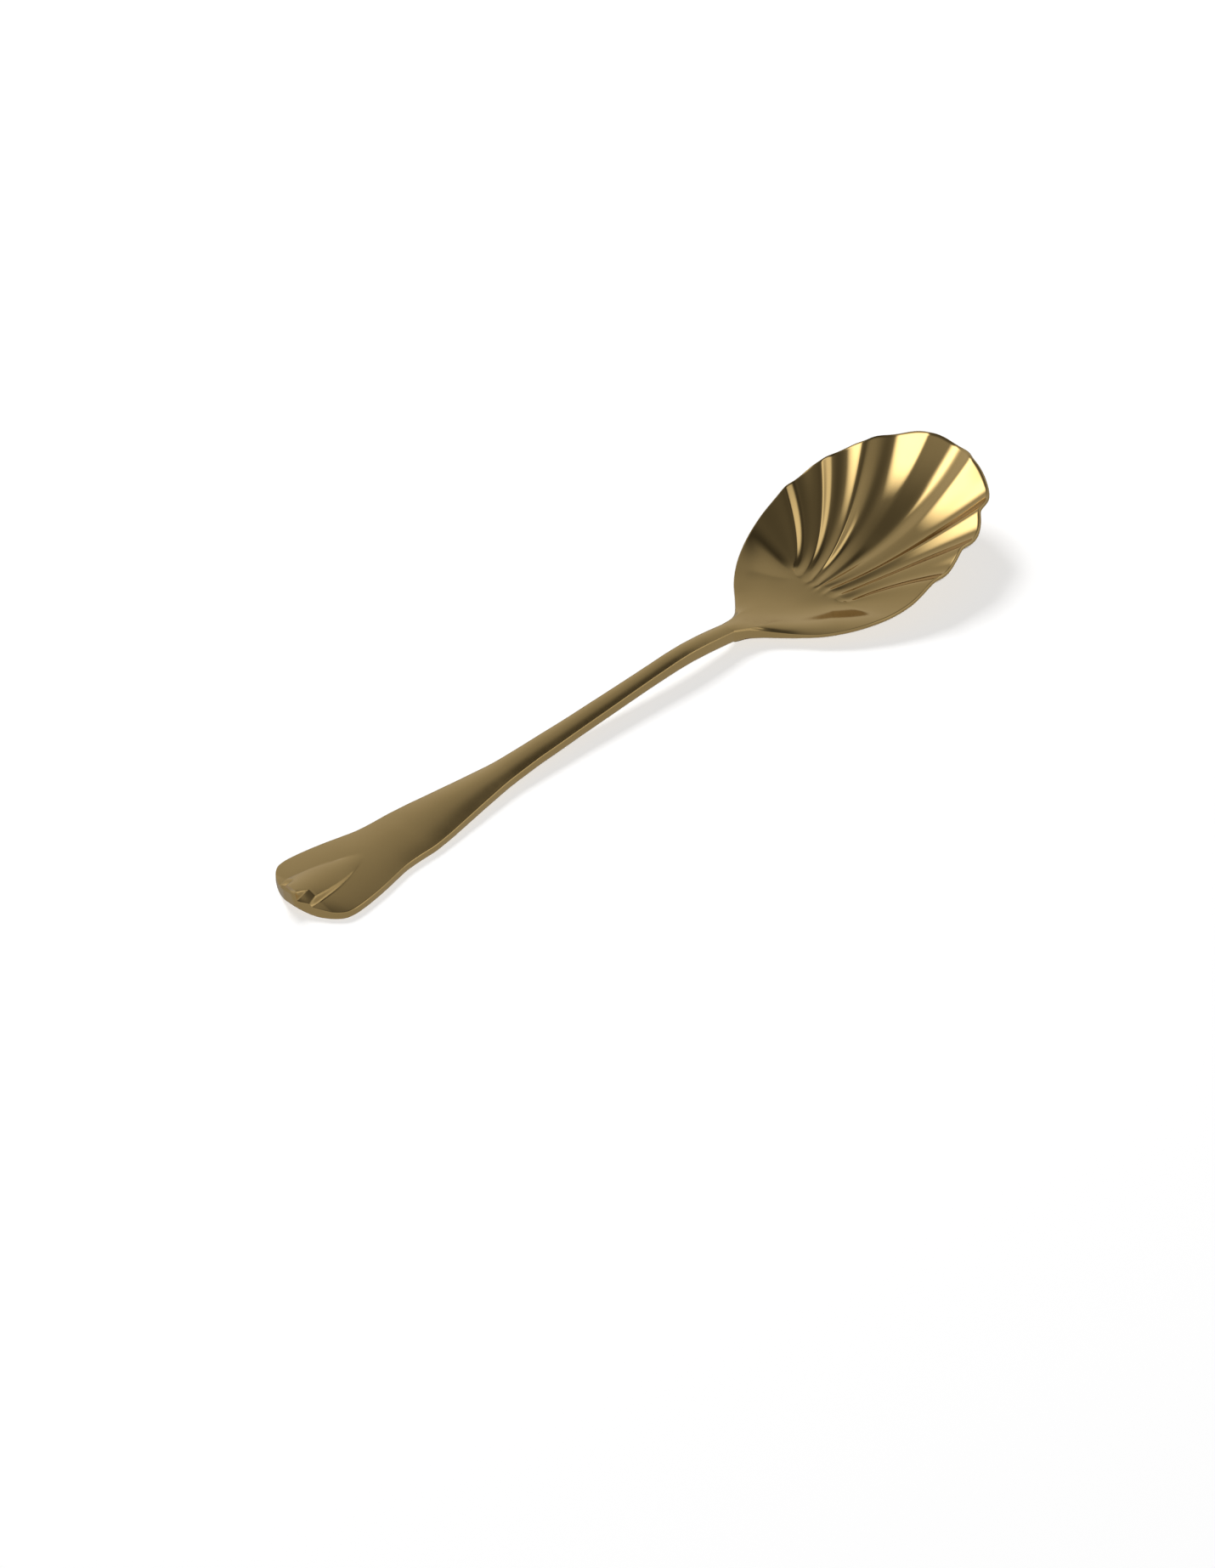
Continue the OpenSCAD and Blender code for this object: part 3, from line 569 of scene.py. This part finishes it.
def piece(name, rings, faces, flats, finish, slot):
    """A piece that replaces the frame's node of that name. Its last faces, flats of them, are flat ends
    with sharp edges, and the others are smooth."""
    points = rings.reshape(-1, 3).copy()
    points[:, 0] -= overall_l / 2
    mesh = bpy.data.meshes.new(name)
    mesh.from_pydata((points * MM).tolist(), [], faces)
    smooth = len(faces) - flats
    mesh.polygons.foreach_set("use_smooth", [i < smooth for i in range(len(faces))])
    flat_edges = {key for face in list(mesh.polygons)[smooth:] for key in face.edge_keys}
    mesh.edges.foreach_set("use_edge_sharp", [edge.key in flat_edges for edge in mesh.edges])
    mesh.validate()
    mesh.materials.append(finish)
    mesh.update()
    obj = bpy.data.objects.new("fine_" + name, mesh)
    bpy.context.scene.collection.objects.link(obj)
    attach(obj, "root")
    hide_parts(name)


# Pieces. Stations along the handle are closest at the nose: where each stretch ends, and how many it has
# with both its ends.
STRETCHES = [(lean_l * 0.9, 10), (nose_l, 50), (nose_l * 3, 50), (tongue_l, 30), (handle_l, 60)]
STEM_STATIONS = 120
starts = [0] + [stretch[0] for stretch in STRETCHES[:-1]]
handle_stations = np.concatenate([np.linspace(start, end, count)[:-1]
                                  for start, (end, count) in zip(starts, STRETCHES)] + [[handle_l]])
stem_stations = np.linspace(handle_l, neck_at, STEM_STATIONS)

bowl_parts = bowl_mesh()
overall_l = bowl_parts[0][..., 0].max()
polished = metal("polished_gold", POLISH_ROUGH, POLISH_X)
satin = metal("satin_gold", SATIN_ROUGH, SATIN_ONLY)
piece("handle", *loft(handle_stations), satin, "satin_gold")
piece("stem", *loft(stem_stations), satin, "satin_gold")
piece("bowl", *bowl_parts, polished, "polished_gold")


# Floor and surroundings, in metres
FLOOR_HALF, FLOOR_Z, FLOOR_WHITE = 5, -0.00015, 0.98
# A studio tent that only the metal sees: grey, paler towards the horizon, with soft lamps in it. It has its
# radius and how many faces it has round and up, and the tones lie at shares of its height. A lamp has the
# azimuth and elevation of its middle, its width and height and how wide their soft edges are, all in
# degrees, and its strength. The one below zero darkens the tent.
TENT_R, TENT_ROUND, TENT_UP = 6.5, 48, 16
TENT_TONES = [(0.0, 0.5), (0.17, 0.48), (0.34, 0.42), (0.5, 0.37), (0.64, 0.31), (0.77, 0.26), (0.87, 0.18),
              (0.94, 0.12), (1.0, 0.09)]
TENT_LAMPS = [(131, 36, 44, 30, 30, 20, 2.4), (-30, 48, 34, 16, 12, 10, 0.7),
              (5, 60, 60, 20, 30, 16, -0.11), (-56, 20, 24, 12, 12, 8, 0.5)]
# A grey mat just above the floor that only the metal sees
MAT_R, MAT_Z, MAT_TONE = 6.4, -0.0001, 0.34


def emission(name, strength):
    m = bpy.data.materials.new(name)
    m.use_nodes = True
    tree = m.node_tree
    tree.nodes.clear()
    out = tree.nodes.new("ShaderNodeOutputMaterial")
    glow = tree.nodes.new("ShaderNodeEmission")
    glow.inputs["Color"].default_value = (1, 1, 1, 1)
    glow.inputs["Strength"].default_value = strength
    tree.links.new(glow.outputs[0], out.inputs["Surface"])
    return m


def paper_material():
    m = bpy.data.materials.new("paper")
    m.use_nodes = True
    shader = m.node_tree.nodes["Principled BSDF"]
    shader.inputs["Base Color"].default_value = (FLOOR_WHITE, FLOOR_WHITE, FLOOR_WHITE, 1)
    shader.inputs["Roughness"].default_value = 1.0
    shader.inputs["Specular IOR Level"].default_value = 0.0
    return m


def tent_material():
    m = emission("tent", 1)
    tree = m.node_tree
    link = tree.links.new
    glow = [node for node in tree.nodes if node.type == "EMISSION"][0]

    def math_node(operation, a, b=None):
        node = tree.nodes.new("ShaderNodeMath")
        node.operation = operation
        for socket, value in zip(node.inputs, (a, b)):
            if isinstance(value, (int, float)):
                socket.default_value = value
            elif value is not None:
                link(value, socket)
        return node.outputs["Value"]

    def fade(value, half, soft):
        """1 inside half of zero and 0 outside it, over a soft edge, in radians."""
        node = tree.nodes.new("ShaderNodeMapRange")
        node.interpolation_type = "SMOOTHSTEP"
        ends = (("From Min", half - soft / 2), ("From Max", half + soft / 2), ("To Min", 1), ("To Max", 0))
        for key, v in ends:
            node.inputs[key].default_value = v
        link(math_node("ABSOLUTE", value), node.inputs["Value"])
        return node.outputs["Result"]

    def split(vector):
        node = tree.nodes.new("ShaderNodeSeparateXYZ")
        link(vector, node.inputs["Vector"])
        return node.outputs

    where = tree.nodes.new("ShaderNodeTexCoord")
    up_share = math_node("DIVIDE", split(where.outputs["Object"])["Z"], TENT_R)
    rise = math_node("ARCSINE", up_share)
    ramp = tree.nodes.new("ShaderNodeValToRGB")
    link(up_share, ramp.inputs["Fac"])
    for row in TENT_TONES[1:-1]:
        ramp.color_ramp.elements.new(row[0])
    for element, (position, grey) in zip(ramp.color_ramp.elements, TENT_TONES):
        element.position = position
        element.color = (grey, grey, grey, 1)
    tone = ramp.outputs["Color"]
    for azimuth, elevation, width, height, soft_width, soft_height, strength in TENT_LAMPS:
        turn = tree.nodes.new("ShaderNodeVectorRotate")
        turn.rotation_type = "Z_AXIS"
        turn.inputs["Angle"].default_value = math.radians(-azimuth)
        link(where.outputs["Object"], turn.inputs["Vector"])
        turned = split(turn.outputs["Vector"])
        aside = math_node("ARCTAN2", turned["Y"], turned["X"])
        above = math_node("SUBTRACT", rise, math.radians(elevation))
        across = fade(aside, math.radians(width / 2), math.radians(soft_width))
        upright = fade(above, math.radians(height / 2), math.radians(soft_height))
        light = math_node("MULTIPLY", math_node("MULTIPLY", across, upright), strength)
        tone = math_node("ADD", tone, light)
    link(tone, glow.inputs["Strength"])
    return m


def circle(radius, z):
    turns = [2 * math.pi * i / TENT_ROUND for i in range(TENT_ROUND)]
    return [(radius * math.cos(a), radius * math.sin(a), z) for a in turns]


def tent_mesh():
    """Points and faces of a half sphere over the floor."""
    levels = [math.pi / 2 * (j / TENT_UP) for j in range(TENT_UP)]
    points = [p for e in levels for p in circle(TENT_R * math.cos(e), TENT_R * math.sin(e))]
    last = len(points) - TENT_ROUND
    top = len(points)
    faces = []
    for i in range(TENT_ROUND):
        after = (i + 1) % TENT_ROUND
        for low in range(0, last, TENT_ROUND):
            high = low + TENT_ROUND
            faces.append((low + i, low + after, high + after, high + i))
        faces.append((last + i, last + after, top))
    return points + [(0, 0, TENT_R)], faces


def stage(name, points, faces, finish, glossy_only=False):
    mesh = bpy.data.meshes.new(name)
    mesh.from_pydata(points, [], faces)
    mesh.materials.append(finish)
    obj = bpy.data.objects.new(name, mesh)
    bpy.context.scene.collection.objects.link(obj)
    if glossy_only:
        obj.visible_camera = obj.visible_diffuse = obj.visible_shadow = False
        obj.visible_transmission = obj.visible_volume_scatter = False


corners = [(-1, -1), (1, -1), (1, 1), (-1, 1)]
floor_points = [(x * FLOOR_HALF, y * FLOOR_HALF, FLOOR_Z) for x, y in corners]
stage("floor", floor_points, [(0, 1, 2, 3)], paper_material())
stage("tent", *tent_mesh(), tent_material(), glossy_only=True)
stage("mat", circle(MAT_R, MAT_Z), [tuple(range(TENT_ROUND))], emission("mat", MAT_TONE), glossy_only=True)


# Light and camera, in metres. The camera's place is measured from the nose's tip, and its axes follow.
CAMERA_PLACE, CAMERA_LENS = (-1.26592, -1.40498, 1.52701), 263.41
CAMERA_RIGHT, CAMERA_UP = (0.7184, -0.6957, 0.0), (0.4312, 0.4452, 0.7848)
CAMERA_BACK = (-0.5459, -0.5638, 0.6198)
# Two lamps that the metal doesn't reflect: a soft one, whose shadow shows, and one from beside the camera,
# whose shadows the spoon itself hides
KEY_AZIMUTH, KEY_ELEVATION, KEY_DISTANCE = math.radians(88), math.radians(58), 2.5
KEY_SIZE, KEY_WATTS = 0.8, 22
FILL_STRENGTH, FILL_ANGLE = 3.3, math.radians(2)
# Strength of the world as a light, and as what the camera and reflections see
WORLD_LIGHT, WORLD_WHITE = 0.11, 1.0


def placed(right, up, back, place):
    """The matrix of an object at a place, with the directions of its own axes."""
    return Matrix([[right[i], up[i], back[i], place[i]] for i in range(3)] + [[0, 0, 0, 1]])


def hang(data, matrix):
    """A lamp that reflections don't show."""
    obj = bpy.data.objects.new(data.name, data)
    obj.matrix_world = matrix
    obj.visible_glossy = False
    bpy.context.scene.collection.objects.link(obj)


def key_lamp():
    data = bpy.data.lights.new("key", "AREA")
    data.shape = "SQUARE"
    data.size = KEY_SIZE
    data.energy = KEY_WATTS
    back = np.array([math.cos(KEY_ELEVATION) * math.cos(KEY_AZIMUTH),
                     math.cos(KEY_ELEVATION) * math.sin(KEY_AZIMUTH), math.sin(KEY_ELEVATION)])
    right = np.array([-math.sin(KEY_AZIMUTH), math.cos(KEY_AZIMUTH), 0])
    hang(data, placed(right, np.cross(back, right), back, back * KEY_DISTANCE))


def fill_lamp():
    data = bpy.data.lights.new("fill", "SUN")
    data.energy = FILL_STRENGTH
    data.angle = FILL_ANGLE
    hang(data, placed(CAMERA_RIGHT, CAMERA_UP, CAMERA_BACK, (0, 0, 0)))


def set_world():
    """Surroundings that are white to the camera and in reflections, and a low light otherwise."""
    world = bpy.data.worlds.new("surroundings")
    bpy.context.scene.world = world
    world.use_nodes = True
    tree = world.node_tree
    link = tree.links.new
    tree.nodes.clear()
    path = tree.nodes.new("ShaderNodeLightPath")
    seen = path.outputs["Is Camera Ray"]
    for ray in ("Is Glossy Ray", "Is Transmission Ray"):
        either = tree.nodes.new("ShaderNodeMath")
        either.operation = "MAXIMUM"
        link(seen, either.inputs[0])
        link(path.outputs[ray], either.inputs[1])
        seen = either.outputs["Value"]
    both = tree.nodes.new("ShaderNodeMixShader")
    link(seen, both.inputs[0])
    for i, strength in enumerate((WORLD_LIGHT, WORLD_WHITE)):
        background = tree.nodes.new("ShaderNodeBackground")
        background.inputs["Color"].default_value = (1, 1, 1, 1)
        background.inputs["Strength"].default_value = strength
        link(background.outputs[0], both.inputs[i + 1])
    out = tree.nodes.new("ShaderNodeOutputWorld")
    link(both.outputs[0], out.inputs["Surface"])


def set_camera():
    data = bpy.data.cameras.new("camera")
    data.sensor_width = 36
    data.sensor_fit = "AUTO"
    data.lens = CAMERA_LENS
    data.clip_start, data.clip_end = 0.1, 100
    obj = bpy.data.objects.new("camera", data)
    place = (CAMERA_PLACE[0] - overall_l / 2 * MM, CAMERA_PLACE[1], CAMERA_PLACE[2])
    obj.matrix_world = placed(CAMERA_RIGHT, CAMERA_UP, CAMERA_BACK, place)
    bpy.context.scene.collection.objects.link(obj)
    bpy.context.scene.camera = obj
    bpy.context.scene.view_settings.view_transform = "Standard"


key_lamp()
fill_lamp()
set_world()
set_camera()
